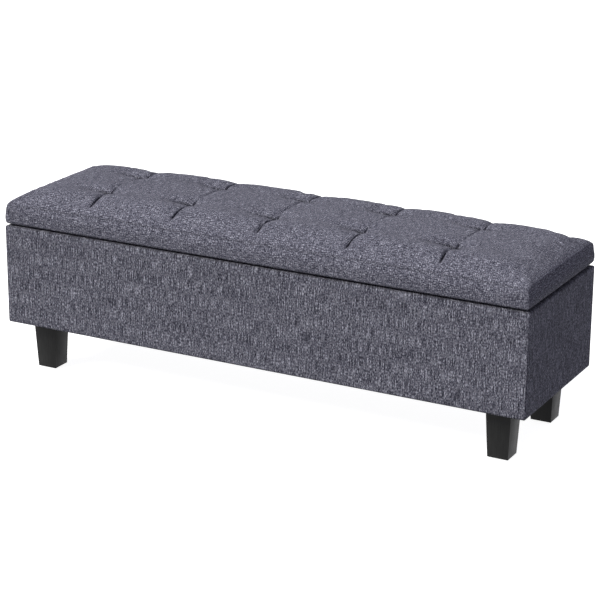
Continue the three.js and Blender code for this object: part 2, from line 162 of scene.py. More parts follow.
class Finish:
    """A material under construction: its Principled shader and helpers that add nodes."""

    def __init__(self, name, roughness, **constants):
        self.material = bpy.data.materials.new(name)
        self.material.use_nodes = True
        self.tree = self.material.node_tree
        self.shader = self.tree.nodes["Principled BSDF"]
        self.put(Roughness=roughness)
        for socket, value in constants.items():
            self.shader.inputs[socket.replace("_", " ")].default_value = value

    def node(self, kind, settings=None, sockets=None, output=0):
        made = self.tree.nodes.new(kind)
        for name, value in (settings or {}).items():
            if name == "stops":
                ramp = made.color_ramp.elements
                while len(ramp) < len(value):
                    ramp.new(0.5)
                for stop, (at, colour) in zip(ramp, value):
                    stop.position, stop.color = at, (*colour, 1)
            else:
                setattr(made, name, value)
        for key, value in (sockets or {}).items():
            self.feed(made.inputs[key], value)
        return Value(self, made.outputs[output])

    def feed(self, socket, value):
        if isinstance(value, Value):
            self.tree.links.new(value.socket, socket)
        else:
            socket.default_value = value

    def put(self, **values):
        for name, value in values.items():
            self.feed(self.shader.inputs[name.replace("_", " ")], value)
        return self.material

    def place(self, uv=False):
        """Object coordinates in metres, or the piece's own flat cloth coordinates."""
        kind = "ShaderNodeUVMap" if uv else "ShaderNodeTexCoord"
        return self.node(kind, {}, {}, 0 if uv else "Object")

    def split(self, vector):
        made = self.tree.nodes.new("ShaderNodeSeparateXYZ")
        self.feed(made.inputs[0], vector)
        return [Value(self, out) for out in made.outputs]

    def scaled(self, vector, x, y, z=1.0):
        sockets = {0: vector, 1: (x, y, z)}
        return self.node("ShaderNodeVectorMath", {"operation": "MULTIPLY"}, sockets)

    def noise(self, vector, scale=1.0, detail=2.0, roughness=0.5, warp=0.0):
        sockets = {"Vector": vector, "Scale": scale, "Detail": detail}
        sockets |= {"Roughness": roughness, "Distortion": warp}
        return self.node("ShaderNodeTexNoise", {}, sockets)

    def ramp(self, factor, *stops):
        return self.node("ShaderNodeValToRGB", {"stops": stops}, {0: factor})

    def mix(self, factor, a, b):
        def pick(colour):
            return colour if isinstance(colour, Value) else (*colour, 1)

        sockets = {0: factor, 6: pick(a), 7: pick(b)}
        return self.node("ShaderNodeMix", {"data_type": "RGBA"}, sockets, 2)

    def bump(self, height, distance, strength):
        sockets = {"Height": height, "Distance": distance, "Strength": strength}
        self.put(Normal=self.node("ShaderNodeBump", {}, sockets))


# %% [markdown]
# ## Upholstery fabric
# The bench wears a heathered linen-look cloth. Thick and thin slate yarns run one way and
# finer ones cross them, so the cloth shows short light and dark streaks, and up close a
# plain weave. The streaks are stretched noise in the cloth's own flat coordinates, which
# follow each panel as it was cut, so they turn with the fabric over every edge. On the
# lid the cloth is pulled over foam, which opens the weave and evens out the streaks. The
# `fold` attribute, from 0 to 1, is painted shade: it darkens the cloth's colour in the
# creases and where the lid covers it.

# %% Upholstery fabric
YARN = 1.5 * MM
SLATE = (
    (0.0, (0.002, 0.002, 0.0060)),
    (0.36, (0.045, 0.0445, 0.0645)),
    (0.64, (0.172, 0.171, 0.212)),
    (1.0, (0.66, 0.66, 0.75)),
)
# The last number is the darkest factor of the painted shade that the fold attribute puts into the
# colour.
CLOUD_SHARE, DARKEST_PAINTED_SHADE = 0.04, 0.12


def upholstery(name, slub_size, strand_size, cross_size, shares, contrast, gain):
    """shares weighs the slubs, strands and cross yarns; contrast and gain set the tone."""
    cloth = Finish(name, 0.95, Sheen_Weight=0.05, Sheen_Roughness=0.6)
    cloth.shader.inputs["Specular IOR Level"].default_value = 0.15
    flat = cloth.place(uv=True)
    across, along, _ = cloth.split(flat)
    slub, strand, cross = (
        cloth.noise(cloth.scaled(flat, *size), detail=1, roughness=0.6).spread(0.32, 0.68)
        for size in (slub_size, strand_size, cross_size)
    )
    cloud = cloth.noise(flat, scale=14, detail=3).spread(0.3, 0.7)
    yarns = slub * shares[0] + strand * shares[1] + cross * shares[2]
    tone = yarns + cloud * CLOUD_SHARE
    reach = 0.42 / contrast
    colour = cloth.ramp(tone.spread(0.5 - reach, 0.5 + reach), *SLATE)
    turn = math.pi / YARN
    over = ((across * turn).sine() * (along * turn).sine()).spread(-1, 1)
    warp_yarn = (across * turn * 2).sine().size()
    weft_yarn = (along * turn * 2).sine().size()
    weave = over * warp_yarn + (1 - over) * weft_yarn
    # Painted shade: the fold attribute darkens the colour in creases, pits, the lid's underside
    # and the box's rim.
    fold = cloth.node("ShaderNodeAttribute", {"attribute_name": "fold"}, {}, "Fac")
    shade = weave.spread(0, 1, 0.86 * gain, 1.05 * gain) * fold.spread(0, 1, 1.0, DARKEST_PAINTED_SHADE)
    sockets = {0: colour, "Scale": shade}
    shaded = cloth.node("ShaderNodeVectorMath", {"operation": "SCALE"}, sockets)
    cloth.bump(weave * 0.5 + slub * 0.25 + cross * 0.15, 0.4 * MM, 0.6)
    return cloth.put(Base_Color=shaded, Roughness=tone.spread(0, 1, 0.98, 0.84))


BOX_FABRIC = upholstery(
    "slate_linen",
    slub_size=(700, 185),
    strand_size=(780, 30),
    cross_size=(90, 460),
    shares=(0.44, 0.40, 0.12),
    contrast=1.14,
    gain=0.90,
)
LID_FABRIC = upholstery(
    "slate_linen_eased",
    slub_size=(480, 300),
    strand_size=(660, 50),
    cross_size=(80, 460),
    shares=(0.44, 0.24, 0.28),
    contrast=0.88,
    gain=1.00,
)
print("fabric nodes:", len(BOX_FABRIC.node_tree.nodes))

# %% [markdown]
# ## The other finishes
# Black lacquer on the legs, zinc-plated steel on the hinges and stays, bare plywood and
# softwood where nobody looks, black spun-bonded cloth inside, foam, rubber and plastic.


# %% The other finishes
def lacquered_wood():
    wood = Finish("black_lacquer", 0.4, Coat_Weight=0.03, Coat_Roughness=0.3)
    wood.shader.inputs["Specular IOR Level"].default_value = 0.14
    place = wood.place()
    grain = wood.noise(wood.scaled(place, 420, 420, 22), detail=3, roughness=0.55)
    pores = wood.noise(wood.scaled(place, 1500, 1500, 70), detail=1).spread(0.60, 0.72)
    dust = wood.noise(place, scale=60, detail=4).spread(0.3, 0.75)
    colour = wood.mix(grain.spread(0.35, 0.65), (0.0055, 0.0056, 0.0055), (0.0110, 0.0112, 0.0110))
    wood.bump(grain - pores * 0.6, 0.12 * MM, 0.5)
    return wood.put(Base_Color=colour, Roughness=dust * 0.14 + 0.36)


def plated_steel():
    steel = Finish("zinc_plate", 0.35, Metallic=1.0)
    place = steel.place()
    spangle = steel.noise(place, scale=320, detail=3).spread(0.35, 0.65)
    rub = steel.noise(steel.scaled(place, 60, 900, 900), detail=2).spread(0.4, 0.7)
    colour = steel.mix(spangle, (0.36, 0.36, 0.38), (0.52, 0.53, 0.56))
    steel.bump(rub, 0.03 * MM, 0.5)
    return steel.put(Base_Color=colour, Roughness=spangle * 0.16 + rub * 0.1 + 0.26)


def bare_wood(name, pale, dark, grain_x, grain_y, grain_z):
    wood = Finish(name, 0.7)
    place = wood.place()
    rings = wood.noise(wood.scaled(place, grain_x, grain_y, grain_z), detail=4, warp=0.6)
    fibres = wood.noise(wood.scaled(place, grain_x * 9, grain_y * 9, grain_z * 9), detail=2)
    colour = wood.mix(rings.spread(0.35, 0.65) * 0.7 + fibres * 0.3, pale, dark)
    wood.bump(fibres, 0.15 * MM, 0.5)
    return wood.put(Base_Color=colour, Roughness=fibres.spread(0.2, 0.8, 0.6, 0.8))


def spun_cloth():
    cloth = Finish("black_spunbond", 0.9, Sheen_Weight=0.1)
    place = cloth.place()
    x, y, z = cloth.split(place)
    pitch = math.pi / (1.6 * MM)
    dots = (x * pitch).sine() * (y * pitch).sine() * 0.5
    dots = (dots + (z * pitch).sine() * ((x + y) * pitch).sine() * 0.5).spread(0.1, 0.45)
    web = cloth.noise(place, scale=900, detail=3).spread(0.35, 0.65)
    colour = cloth.mix(web * 0.6 + dots * 0.4, (0.006, 0.006, 0.007), (0.022, 0.022, 0.025))
    cloth.bump(web * 0.5 - dots, 0.15 * MM, 0.6)
    return cloth.put(Base_Color=colour, Roughness=web.spread(0, 1, 0.82, 0.96))


def moulded(name, colour, lighter, grain, roughness):
    skin = Finish(name, roughness)
    place = skin.place()
    pebble = skin.noise(place, scale=grain, detail=2).spread(0.35, 0.65)
    scuff = skin.noise(place, scale=grain / 12, detail=4).spread(0.45, 0.75)
    skin.bump(pebble, 0.05 * MM, 0.6)
    blend = skin.mix(scuff * 0.6 + pebble * 0.2, colour, lighter)
    return skin.put(Base_Color=blend, Roughness=pebble * 0.12 + (roughness - 0.06))


def cut_foam():
    foam = Finish("seat_foam", 0.95)
    place = foam.place()
    cells = foam.node("ShaderNodeTexVoronoi", {}, {"Vector": place, "Scale": 700})
    tint = foam.noise(place, scale=9, detail=2).spread(0.3, 0.7)
    foam.bump(cells, 0.4 * MM, 0.7)
    return foam.put(Base_Color=foam.mix(tint, (0.78, 0.72, 0.52), (0.70, 0.61, 0.38)))


def twisted_thread():
    thread = Finish("tufting_thread", 0.85)
    x, y, z = thread.split(thread.place())
    ply = ((x + y) * 5200 + z * 2600).sine().spread(-1, 1)
    thread.bump(ply, 0.2 * MM, 0.7)
    return thread.put(Base_Color=thread.mix(ply, (0.028, 0.027, 0.037), (0.10, 0.098, 0.125)))


LACQUER = lacquered_wood()
STEEL = plated_steel()
PLYWOOD = bare_wood("birch_plywood", (0.50, 0.33, 0.17), (0.33, 0.19, 0.085), 3, 34, 34)
SOFTWOOD = bare_wood("pine", (0.62, 0.43, 0.22), (0.44, 0.26, 0.11), 5, 60, 60)
LINING = spun_cloth()
RUBBER = moulded("bumper_rubber", (0.010, 0.010, 0.011), (0.030, 0.030, 0.032), 1400, 0.8)
PLASTIC = moulded("glide_plastic", (0.009, 0.009, 0.010), (0.035, 0.035, 0.037), 900, 0.55)
FOAM = cut_foam()
THREAD = twisted_thread()

# %% [markdown]
# ## Making meshes
# Most soft pieces here are grids of points. `grid_faces` joins rows of points into quads,
# `new_object` adds the cloth coordinates and the painted shade of folds and of the rim under
# the lid, and `finish_piece` gives a mesh its material, body and the solid it stands for.


# %% Mesh helpers
def grid_faces(rows, columns, start=0, closed=False):
    across = columns if closed else columns - 1
    return [
        (
            start + r * columns + c,
            start + r * columns + (c + 1) % columns,
            start + (r + 1) * columns + (c + 1) % columns,
            start + (r + 1) * columns + c,
        )
        for r in range(rows - 1)
        for c in range(across)
    ]


def new_object(name, points, faces, cloth_uv=None, painted_shade=None, edges=()):
    mesh = bpy.data.meshes.new(name)
    mesh.from_pydata([tuple(p) for p in points], edges, faces)
    # The fold attribute holds painted shade, which darkens the cloth's colour.
    if painted_shade is not None:
        mesh.attributes.new("fold", "FLOAT", "POINT").data.foreach_set("value", painted_shade)
    if cloth_uv is not None:
        layer = mesh.uv_layers.new(name="UVMap")
        layer.data.foreach_set("uv", [c for uv in cloth_uv for c in uv])
    made = bpy.data.objects.new(name, mesh)
    bpy.context.scene.collection.objects.link(made)
    return made


def soften(piece, sharp_degrees=40):
    piece.data.shade_smooth()
    piece.data.set_sharp_from_angle(angle=math.radians(sharp_degrees))


def apply_modifiers(piece):
    """Turns a piece with modifiers into the plain mesh that they make."""
    evaluated = piece.evaluated_get(bpy.context.evaluated_depsgraph_get())
    made = bpy.data.meshes.new_from_object(evaluated)
    piece.modifiers.clear()
    piece.data = made
    return piece


def finish_piece(piece, material, body, slot, *nodes):
    piece.data.materials.clear()
    piece.data.materials.append(material)
    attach(piece, body)
    if nodes:
        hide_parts(*nodes)
    print(f"{piece.name}: {len(piece.data.polygons)} faces on {body}")
    return piece


def weld(piece):
    shape = bmesh.new()
    shape.from_mesh(piece.data)
    bmesh.ops.remove_doubles(shape, verts=shape.verts, dist=0.01 * MM)
    shape.to_mesh(piece.data)
    shape.free()


# %% [markdown]
# ## Hard pieces with softened edges
# Real edges are never knife sharp: a small bevel catches the light. Each wooden, steel,
# rubber and plastic solid is copied, its triangles are merged back to flat faces, and the
# copy gets a bevel of its own size and stands for the solid.


# %% Bevelled copies of the hard solids
def bevelled(node, width, material, slot, segments=2):
    shape = bmesh.new()
    shape.from_mesh(NODES[node].data)
    bmesh.ops.remove_doubles(shape, verts=shape.verts, dist=0.005 * MM)
    flat = math.radians(1)
    bmesh.ops.dissolve_limit(shape, angle_limit=flat, verts=shape.verts, edges=shape.edges)
    mesh = bpy.data.meshes.new(node + "_soft")
    shape.to_mesh(mesh)
    shape.free()
    piece = bpy.data.objects.new(node + "_piece", mesh)
    bpy.context.scene.collection.objects.link(piece)
    bevel = piece.modifiers.new("edges", "BEVEL")
    bevel.width, bevel.segments = width, segments
    bevel.limit_method, bevel.angle_limit = "ANGLE", math.radians(30)
    bevel.use_clamp_overlap = True
    bevel.harden_normals = False
    apply_modifiers(piece)
    soften(piece, 35)
    return finish_piece(piece, material, NODES[node]["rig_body"], slot, node)


HARD = [
    ("leg_glide", 0.6 * MM, PLASTIC, "glide_plastic"),
    ("leg_block", 1.0 * MM, SOFTWOOD, "softwood"),
    ("leg_bolt", 0.3 * MM, STEEL, "zinc_steel"),
    ("leg_", 1.6 * MM, LACQUER, "black_wood"),
    ("front_cleat", 1.0 * MM, SOFTWOOD, "softwood"),
    ("back_cleat", 1.0 * MM, SOFTWOOD, "softwood"),
    ("bottom_panel", 0.4 * MM, PLYWOOD, "plywood"),
    ("front_panel", 0.5 * MM, PLYWOOD, "plywood"),
    ("back_panel", 0.5 * MM, PLYWOOD, "plywood"),
    ("left_end_panel", 0.5 * MM, PLYWOOD, "plywood"),
    ("right_end_panel", 0.5 * MM, PLYWOOD, "plywood"),
    ("lid_board", 0.6 * MM, PLYWOOD, "plywood"),
    ("hinge_pin", 0.2 * MM, STEEL, "zinc_steel"),
    ("hinge_", 0.15 * MM, STEEL, "zinc_steel"),
    ("stay_", 0.3 * MM, STEEL, "zinc_steel"),
    ("bumper", 0.8 * MM, RUBBER, "bumper_rubber"),
]
hard_left = set(NODES)
for prefix, width, material, slot in HARD:
    for node in sorted(n for n in hard_left if n.startswith(prefix)):
        bevelled(node, width, material, slot)
        hard_left.discard(node)

# %% [markdown]
# ## The upholstered box
# The box's cover is one band of fabric over thin batting, seamed at the four corners. It
# is folded over the top edge and under the bottom edge of the panels. Here its section,
# a slim C, is swept round the box. The corners stay crisp, with the seam pressed in.
# The rim that the lid covers gets painted shade: its colour is kept a little darker.

# %% The box's cover
TOP_ROUND, FOOT_ROUND, CORNER = 5 * MM, 5.5 * MM, 2.2 * MM
SHEET = 1.6 * MM
SEAM = 0.9 * MM
SIDE_SPACING = 9 * MM
NEXT_PANEL = 0.37  # shifts each panel to its own place on the flat cloth, in metres
# How far the painted shade darkens the rim under the lid.
RIM_SHADE = 0.45


def arc(centre_in, centre_z, radius, start, end, steps):
    """Points (distance in from the outer face, height) along an arc of the section."""
    turns = (start + (end - start) * i / steps for i in range(steps + 1))
    return [(centre_in - radius * math.cos(a), centre_z + radius * math.sin(a)) for a in turns]


def box_section():
    """The cover's section, from the inner end of the top fold, down the outside and back."""
    top, foot = BOX_TOP, BOX_BOTTOM
    wall_high, wall_low = top - TOP_ROUND, foot + FOOT_ROUND
    steps = 30
    outer = [(LAP_IN, top), (LAP_IN * 0.7, top)]
    outer += arc(TOP_ROUND, wall_high, TOP_ROUND, math.pi / 2, 0, 6)
    outer += [(0, wall_high + (wall_low - wall_high) * i / steps) for i in range(1, steps)]
    outer += arc(FOOT_ROUND, wall_low, FOOT_ROUND, 0, -math.pi / 2, 5)
    outer += [(LAP_IN * 0.7, foot), (LAP_IN, foot)]
    inner_top, inner_foot = top - SHEET, foot + SHEET
    inner = [(LAP_IN, inner_foot), (6 * MM, inner_foot), (5.6 * MM, inner_foot + 2 * MM)]
    inner += [(5.6 * MM, inner_top - 2 * MM), (6 * MM, inner_top), (LAP_IN, inner_top)]
    return outer, inner


def ring_path(inwards):
    """Points and outward directions round the box at one distance in, corner seams included."""
    half_x, half_y = HALF_X - inwards, HALF_Y - inwards
    radius = max(CORNER - inwards, 0.25 * MM)
    corners = [(1, -1), (1, 1), (-1, 1), (-1, -1)]
    points = []
    for i, (sx, sy) in enumerate(corners):
        centre = Vector((sx * (half_x - radius), sy * (half_y - radius)))
        turns = [math.radians(-90 + 90 * i + t) for t in (0, 15, 30, 42, 45, 48, 60, 75, 90)]
        for k, turn in enumerate(turns):
            out = Vector((math.cos(turn), math.sin(turn)))
            points.append((centre + out * radius, out, abs(k - 4)))
        nx, ny = corners[(i + 1) % 4]
        after = Vector((nx * (half_x - radius), ny * (half_y - radius)))
        span = (HALF_Y if i % 2 == 0 else HALF_X) * 2
        count = int(span / SIDE_SPACING)
        start, end = points[-1][0], after + out * radius
        points += [(start.lerp(end, j / count), out, 9) for j in range(1, count)]
    return points


def box_cover():
    outer, inner = box_section()
    section = outer + inner
    rings = [ring_path(inwards) for inwards, _ in section]
    columns = len(rings[0])
    points = []
    for level, ((inwards, z), ring) in enumerate(zip(section, rings)):
        outside = level < len(outer)
        height = (z - BOX_BOTTOM) / (BOX_TOP - BOX_BOTTOM)
        for place, out, from_seam in ring:
            push = 0.0
            if outside and inwards < TOP_ROUND:
                slack = noise.noise(Vector((place.x * 7, place.y * 7, z * 9)))
                pulls = noise.noise(Vector((place.x * 42, place.y * 42, 3))) * height**8
                push = 0.35 * MM * slack + 0.3 * MM * pulls
            if outside and from_seam < 9:
                push = -SEAM * max(0.0, 1 - from_seam / 1.6)
            spot = place + out * push
            points.append((spot.x, spot.y, z))
    faces = grid_faces(len(section), columns, closed=True)
    last = (len(section) - 1) * columns
    faces += [(last + c, last + (c + 1) % columns, (c + 1) % columns, c) for c in range(columns)]
    run = [0.0]
    for (a, *_), (b, *_) in zip(rings[len(outer) // 2], rings[len(outer) // 2][1:]):
        run.append(run[-1] + (b - a).length)
    run.append(run[-1] + SIDE_SPACING)
    rise = [0.0]
    for (ai, az), (bi, bz) in zip(section, section[1:] + section[:1]):
        rise.append(rise[-1] + math.hypot(bi - ai, bz - az))
    seams = [c for c, (_, _, from_seam) in enumerate(rings[0]) if from_seam == 0]
    cloth_uv = []
    for face in range(len(faces)):
        level, c = divmod(face, columns)
        shift = sum(c >= seam for seam in seams) * NEXT_PANEL
        u0, u1 = run[c] + shift, run[c + 1] + shift
        v0, v1 = -rise[level], -rise[level + 1]
        cloth_uv += [(u0, v1), (u1, v1), (u1, v0), (u0, v0)]
    # Painted shade: the top rim that the lid covers is darkened in the cloth's colour.
    rim = [RIM_SHADE if p[2] > BOX_TOP - 0.6 * TOP_ROUND else 0.0 for p in points]
    cover = new_object("box_cover", points, [f[::-1] for f in faces], cloth_uv, rim)
    soften(cover, 60)
    walls = ("front_cover", "right_end_cover", "back_cover", "left_end_cover")
    return finish_piece(cover, BOX_FABRIC, "box", "fabric", *walls)


box_cover()

# %% [markdown]
# ## The tufted lid pad
# One panel of fabric runs over the pad from the front edge to the back edge, and a flat
# panel closes each end. Twine pulls the fabric down at each tuft. A sharp crease runs from
# each tuft to the nearer long edge, a faint one joins the two tufts of a column, and along
# the rows only a short fold forms beside each tuft. The pad is a dome whose height is
# worked out point by point, so the creases end up exactly over the twine.

# %% The shape of the pad's top
FOAM_EDGE = LID_BOTTOM + 41 * MM
CROWN = LID_TOP - FOAM_EDGE
FOOT = 6 * MM
END_ROLL, MID_ROLL = 5 * MM, 17 * MM
UNDER = 40 * MM
LEAN, TUCK = 5 * MM, 3.5 * MM


def smooth(low, high, value):
    """0 below low, 1 above high, with a soft step between; low may be the larger one."""
    t = np.clip((value - low) / (high - low), 0, 1)
    return t * t * (3 - 2 * t)


def swell(distance, run):
    """Rises quickly from 0 at an edge and levels out at 1 one run away from it."""
    return 1 - (1 - np.clip(distance / run, 0, 1)) ** 3


def roll_radius(x):
    return END_ROLL + (MID_ROLL - END_ROLL) * smooth(0, 70 * MM, HALF_X - np.abs(x))


def dome(x, y):
    """The pad's height before it is tufted: a rounded roll at the edge and a low dome."""
    from_side = HALF_Y - np.abs(y)
    radius = roll_radius(x)
    roll = np.sqrt(1 - (1 - np.clip(from_side / radius, 0, 1)) ** 2) - 1
    from_end = HALF_X - np.abs(x)
    ends = 0.18 + 0.66 * swell(from_end, 120 * MM) + 0.16 * smooth(0, 330 * MM, from_end)
    inside = smooth(0, 50 * MM, from_end)
    sides = swell(from_side, 20 * MM + 85 * MM * inside)
    sides = sides + 0.25 * (1 - inside) * swell(from_side, HALF_Y)
    return FOAM_EDGE + radius * roll + CROWN * sides * ends


# %% [markdown]
# A crease has a narrow fold in the middle of a wide hollow. Its depth changes along its
# length: deepest in the pit at a tuft, still deep on the way out to the front and back
# edges, and shallow between the two tufts of a column, where the foam pushes it up.


# %% Creases and pits
CREASE_END = 22 * MM
PIT, PIT_RADIUS = 5 * MM, 11 * MM
VALLEY, VALLEY_WIDTH = 1.8 * MM, 24 * MM
SLOT = 4.5 * MM
CROSS_SHARP, CROSS_WIDE = 3.6 * MM, 19 * MM
LENGTH_SHARP, LENGTH_WIDE = 4.2 * MM, 17 * MM


def bell(distance, width):
    return np.exp(-((distance / width) ** 2))


def wander(index, along):
    """How far crease number index strays from a straight line."""
    return 1.5 * MM * np.sin(along * (26 + 3 * index) + index * 2.1)


def fold_section(distance, sharp, wide):
    return 0.5 * np.exp(-np.abs(distance) / sharp) + 0.5 * bell(distance, wide)


def slot(distance, half_width):
    """The tight fold in the middle of a crease, where cloth lies against cloth."""
    return np.exp(-((distance / half_width) ** 4))


def cross_depth(y, index):
    """Depth of a crease that runs across the pad, at distance y from the middle line."""
    outer = np.abs(y) > ROWS[-1]
    away = np.abs(np.abs(y) - ROWS[-1])
    ends = smooth(HALF_Y - CREASE_END + 8 * MM, HALF_Y - CREASE_END - 22 * MM, np.abs(y))
    level = np.where(y < 0, 5.8, 3.6) + 0.6 * math.sin(index * 2.7)
    outside = level * MM * ends + 2.6 * MM * np.exp(-away / (16 * MM))
    between = 2.2 * MM + 5 * MM * np.exp(-away / (13 * MM))
    return np.where(outer, outside, between)


def length_depth(beside, index):
    """Depth of the crease along a row of tufts, at distance beside from a tuft."""
    run = np.where(beside < 0, 40 * MM, 15 * MM)
    tail = np.where(beside < 0, 2.6, 1.2 + 0.4 * math.sin(index * 1.9)) * MM
    return 5.6 * MM * np.exp(-np.abs(beside) / run) + tail * np.exp(-np.abs(beside) / (75 * MM))


def creases(x, y):
    """Depth of the creases, and how tightly folded the cloth is (0 to 1); the second also sets the
    painted shade in the cloth's colour.
    """
    depth, tight, shut_and_painted_shade = np.zeros_like(x), np.zeros_like(x), np.zeros_like(x)
    to_end = smooth(0, 90 * MM, HALF_X - np.abs(x))
    valley = sum(bell(y - row, VALLEY_WIDTH) for row in ROWS) * VALLEY * to_end
    for i, column in enumerate(COLUMNS):
        away = x - column - wander(i, y)
        fold = cross_depth(y, i)
        depth = np.maximum(depth, fold * fold_section(away, CROSS_SHARP, CROSS_WIDE))
        grip = smooth(1.5 * MM, 6 * MM, fold)
        tight = np.maximum(tight, grip * slot(away, 1.7 * MM))
        shut_and_painted_shade = np.maximum(shut_and_painted_shade, grip * bell(away, 2.3 * MM))
    for j, row in enumerate(ROWS):
        for i, column in enumerate(COLUMNS):
            away = y - row - wander(i + j + 1, x)
            fold = length_depth(x - column, i + 2 * j)
            depth = np.maximum(depth, fold * fold_section(away, LENGTH_SHARP, LENGTH_WIDE))
            grip = smooth(1 * MM, 6.5 * MM, fold)
            tight = np.maximum(tight, grip * slot(away, 3.2 * MM))
            shut_and_painted_shade = np.maximum(shut_and_painted_shade, grip * bell(away, 6.5 * MM))
    for tuft in TUFTS:
        dx, dy = x - tuft.x, y - tuft.y
        r = np.hypot(dx, dy)
        turn = np.arctan2(dy, dx)
        fade = bell(r - 14 * MM, 12 * MM)
        pleats = 1 + 0.16 * np.cos(6 * turn + tuft.x * 9) * fade
        depth = depth * pleats + PIT * np.exp(-((r / PIT_RADIUS) ** 1.6))
        tight = tight * (1 - np.exp(-((r / (9 * MM)) ** 4)))
        # Painted shade: the pit at each tuft is darkened in the cloth's colour.
        shut_and_painted_shade = np.maximum(shut_and_painted_shade, 0.95 * bell(r, 6 * MM))
    return depth + valley + SLOT * tight, shut_and_painted_shade


def cloth_slack(x, y):
    """Low, lazy unevenness of stuffed fabric, from a fixed noise."""
    flat = [noise.noise(Vector((a * 9, b * 14, 5))) for a, b in zip(x.ravel(), y.ravel())]
    return np.array(flat).reshape(x.shape)


def pad_height(x, y):
    inner = smooth(0, 40 * MM, np.minimum(HALF_X - np.abs(x), HALF_Y - np.abs(y)))
    depth, shut_and_painted_shade = creases(x, y)
    return dome(x, y) - depth + 1.0 * MM * cloth_slack(x, y) * inner, shut_and_painted_shade


# %% [markdown]
# The formula gives the shape that the twine pulls, but real cloth has a little fullness
# and puckers by itself. So a coarse sheet of the same shape is held at the tufts, creases
# and edges and blown up by a small pressure with the Cloth modifier. Only how far each
# point moved is kept, capped, and added to the fine surface.


# %% Let the cloth settle
SIM_X, SIM_Y = np.linspace(-HALF_X, HALF_X, 190), np.linspace(-HALF_Y, HALF_Y, 66)
MOST_MOVE = 5 * MM


def settle():
    """How far each point of the coarse sheet moves, as an array (rows, columns, 3)."""
    grid_x, grid_y = np.meshgrid(SIM_X, SIM_Y)
    height, shut_and_painted_shade = pad_height(grid_x, grid_y)
    start = np.stack([grid_x, grid_y, height], axis=2)
    sheet = new_object("cloth_trial", start.reshape(-1, 3), grid_faces(*grid_x.shape))
    from_edge = np.minimum(HALF_X - np.abs(grid_x), HALF_Y - np.abs(grid_y))
    held = np.maximum(shut_and_painted_shade * 1.3, 1 - smooth(14 * MM, 40 * MM, from_edge))
    for tuft in TUFTS:
        held = np.maximum(held, np.hypot(grid_x - tuft.x, grid_y - tuft.y) < 9 * MM)
    group = sheet.vertex_groups.new(name="held")
    for index, weight in enumerate(np.clip(held, 0, 1).ravel()):
        group.add([index], float(weight), "REPLACE")
    cloth = sheet.modifiers.new("cloth", "CLOTH").settings
    cloth.quality, cloth.mass, cloth.air_damping = 6, 0.3, 2
    cloth.tension_stiffness = cloth.compression_stiffness = 12
    cloth.shear_stiffness, cloth.bending_stiffness = 4, 0.25
    cloth.use_pressure, cloth.uniform_pressure_force = True, 4
    cloth.vertex_group_mass, cloth.shrink_min = group.name, -0.025
    cloth.effector_weights.gravity = 0
    for frame_number in range(1, 21):
        bpy.context.scene.frame_set(frame_number)
    apply_modifiers(sheet)
    end = np.zeros(start.size)
    sheet.data.vertices.foreach_get("co", end)
    bpy.data.objects.remove(sheet)
    bpy.context.scene.frame_set(1)
    move = end.reshape(start.shape) - start
    far = np.linalg.norm(move, axis=2, keepdims=True)
    print("cloth moved up to", round(float(far.max()), 4), "mean", round(float(far.mean()), 5))
    return move * np.minimum(1, MOST_MOVE / np.maximum(far, 1e-9))


SETTLED = settle()


def settled_at(x, y):
    """The settled sheet's movement at any place, from the four points around it."""
    across = np.clip((x + HALF_X) / (2 * HALF_X), 0, 1) * (len(SIM_X) - 1.001)
    along = np.clip((y + HALF_Y) / (2 * HALF_Y), 0, 1) * (len(SIM_Y) - 1.001)
    c, r = across.astype(int), along.astype(int)
    u, v = (across - c)[..., None], (along - r)[..., None]
    near = SETTLED[r, c] * (1 - u) + SETTLED[r, c + 1] * u
    far = SETTLED[r + 1, c] * (1 - u) + SETTLED[r + 1, c + 1] * u
    return near * (1 - v) + far * v


# %% [markdown]
# The grid is fine where the cloth folds and coarse where it is smooth, which keeps the
# creases crisp without wasting faces.


# %% Stations across the pad
FINE, COARSE = 1.1 * MM, 5 * MM
CLOSE, FAR = 5 * MM, 29 * MM  # the spacing grows between these distances from a fold


def stations(end, fold_lines):
    """Places from 0 to end, close together near the fold lines."""
    places = [0.0]
    while places[-1] < end - FINE:
        away = min(abs(places[-1] - line) for line in fold_lines)
        share = min(1.0, max(0.0, (away - CLOSE) / (FAR - CLOSE)))
        places.append(places[-1] + FINE + (COARSE - FINE) * share)
    return np.array(places) * end / places[-1]


def half_stations(half, lines):
    """Mirrored stations over -half..half."""
    right = stations(half, [abs(line) for line in lines] + [half])
    return np.concatenate([-right[::-1], right[1:]])


X_STATIONS = half_stations(HALF_X, COLUMNS)
print("columns along the pad:", len(X_STATIONS))


# %% The fabric over the pad
SIDE_STEPS = (0.25, 0.5, 0.75)
FOOT_TURNS = [math.radians(t) for t in (0, 22, 45, 68, 90)]
ROLL_TURNS = [math.radians(t) for t in (0, 11, 22, 33, 44, 55)]
SIDE_ROWS = 2 + len(FOOT_TURNS) + len(SIDE_STEPS) + len(ROLL_TURNS)
# Painted shade: the rows under the lid's edge and a faint line on the front roll are darkened in
# the cloth's colour.
UNDER_ROWS, UNDER_SHADE, LINE_SHADE = 3, 0.8, 0.3


def side_rows(x):
    """(distance in from the face, height) of the rows from the under edge up to the roll."""
    level = np.zeros_like(x)
    radius = roll_radius(x)
    shoulder = FOAM_EDGE - radius
    rows = [(level + UNDER, level + LID_BOTTOM), (level + UNDER / 2, level + LID_BOTTOM)]
    for turn in FOOT_TURNS:
        in_by, up_by = FOOT * (1 - math.sin(turn)), FOOT * (1 - math.cos(turn))
        rows.append((level + in_by, level + LID_BOTTOM + up_by))
    low = LID_BOTTOM + FOOT
    rows += [(level, low + (shoulder - low) * step) for step in SIDE_STEPS]
    for turn in ROLL_TURNS:
        in_by = radius * (1 - math.cos(turn))
        rows.append((in_by, dome(x, HALF_Y - in_by)))
    return rows


